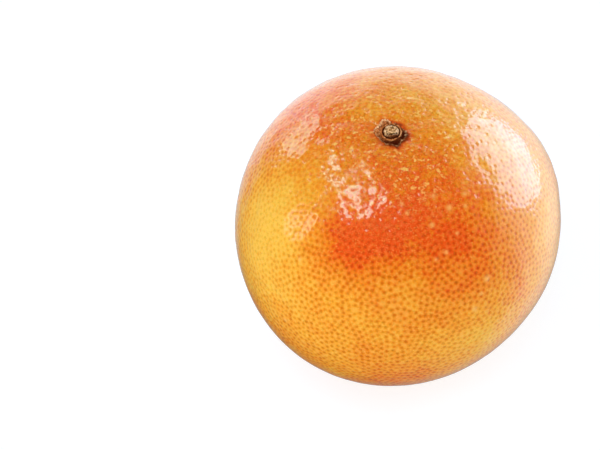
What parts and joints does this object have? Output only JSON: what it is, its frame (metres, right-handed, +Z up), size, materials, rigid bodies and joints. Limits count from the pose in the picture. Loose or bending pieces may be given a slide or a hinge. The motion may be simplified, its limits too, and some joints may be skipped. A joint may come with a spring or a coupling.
{
  "type": "grapefruit",
  "caption": "Whole round grapefruit with a glossy pitted peel, a furrowed stem end, and a dry calyx round the stub of its stem. It stands on a small flat at its blossom end.",
  "frame": {"origin": "on the resting surface, under the middle of the fruit's outline", "axes": "+Z up along the fruit's axis, from the blossom end to the stem end; -Y is the side that faces the viewer in the picture, with +X to its right"},
  "size_m": [0.1042, 0.1042, 0.0966],
  "materials": {
    "peel": "satin",
    "calyx": "matte",
    "stem": "matte"
  },
  "bodies": {
    "root": {"fruit": "peel", "calyx": "calyx", "stem_stub": "stem"}
  },
  "joints": []
}
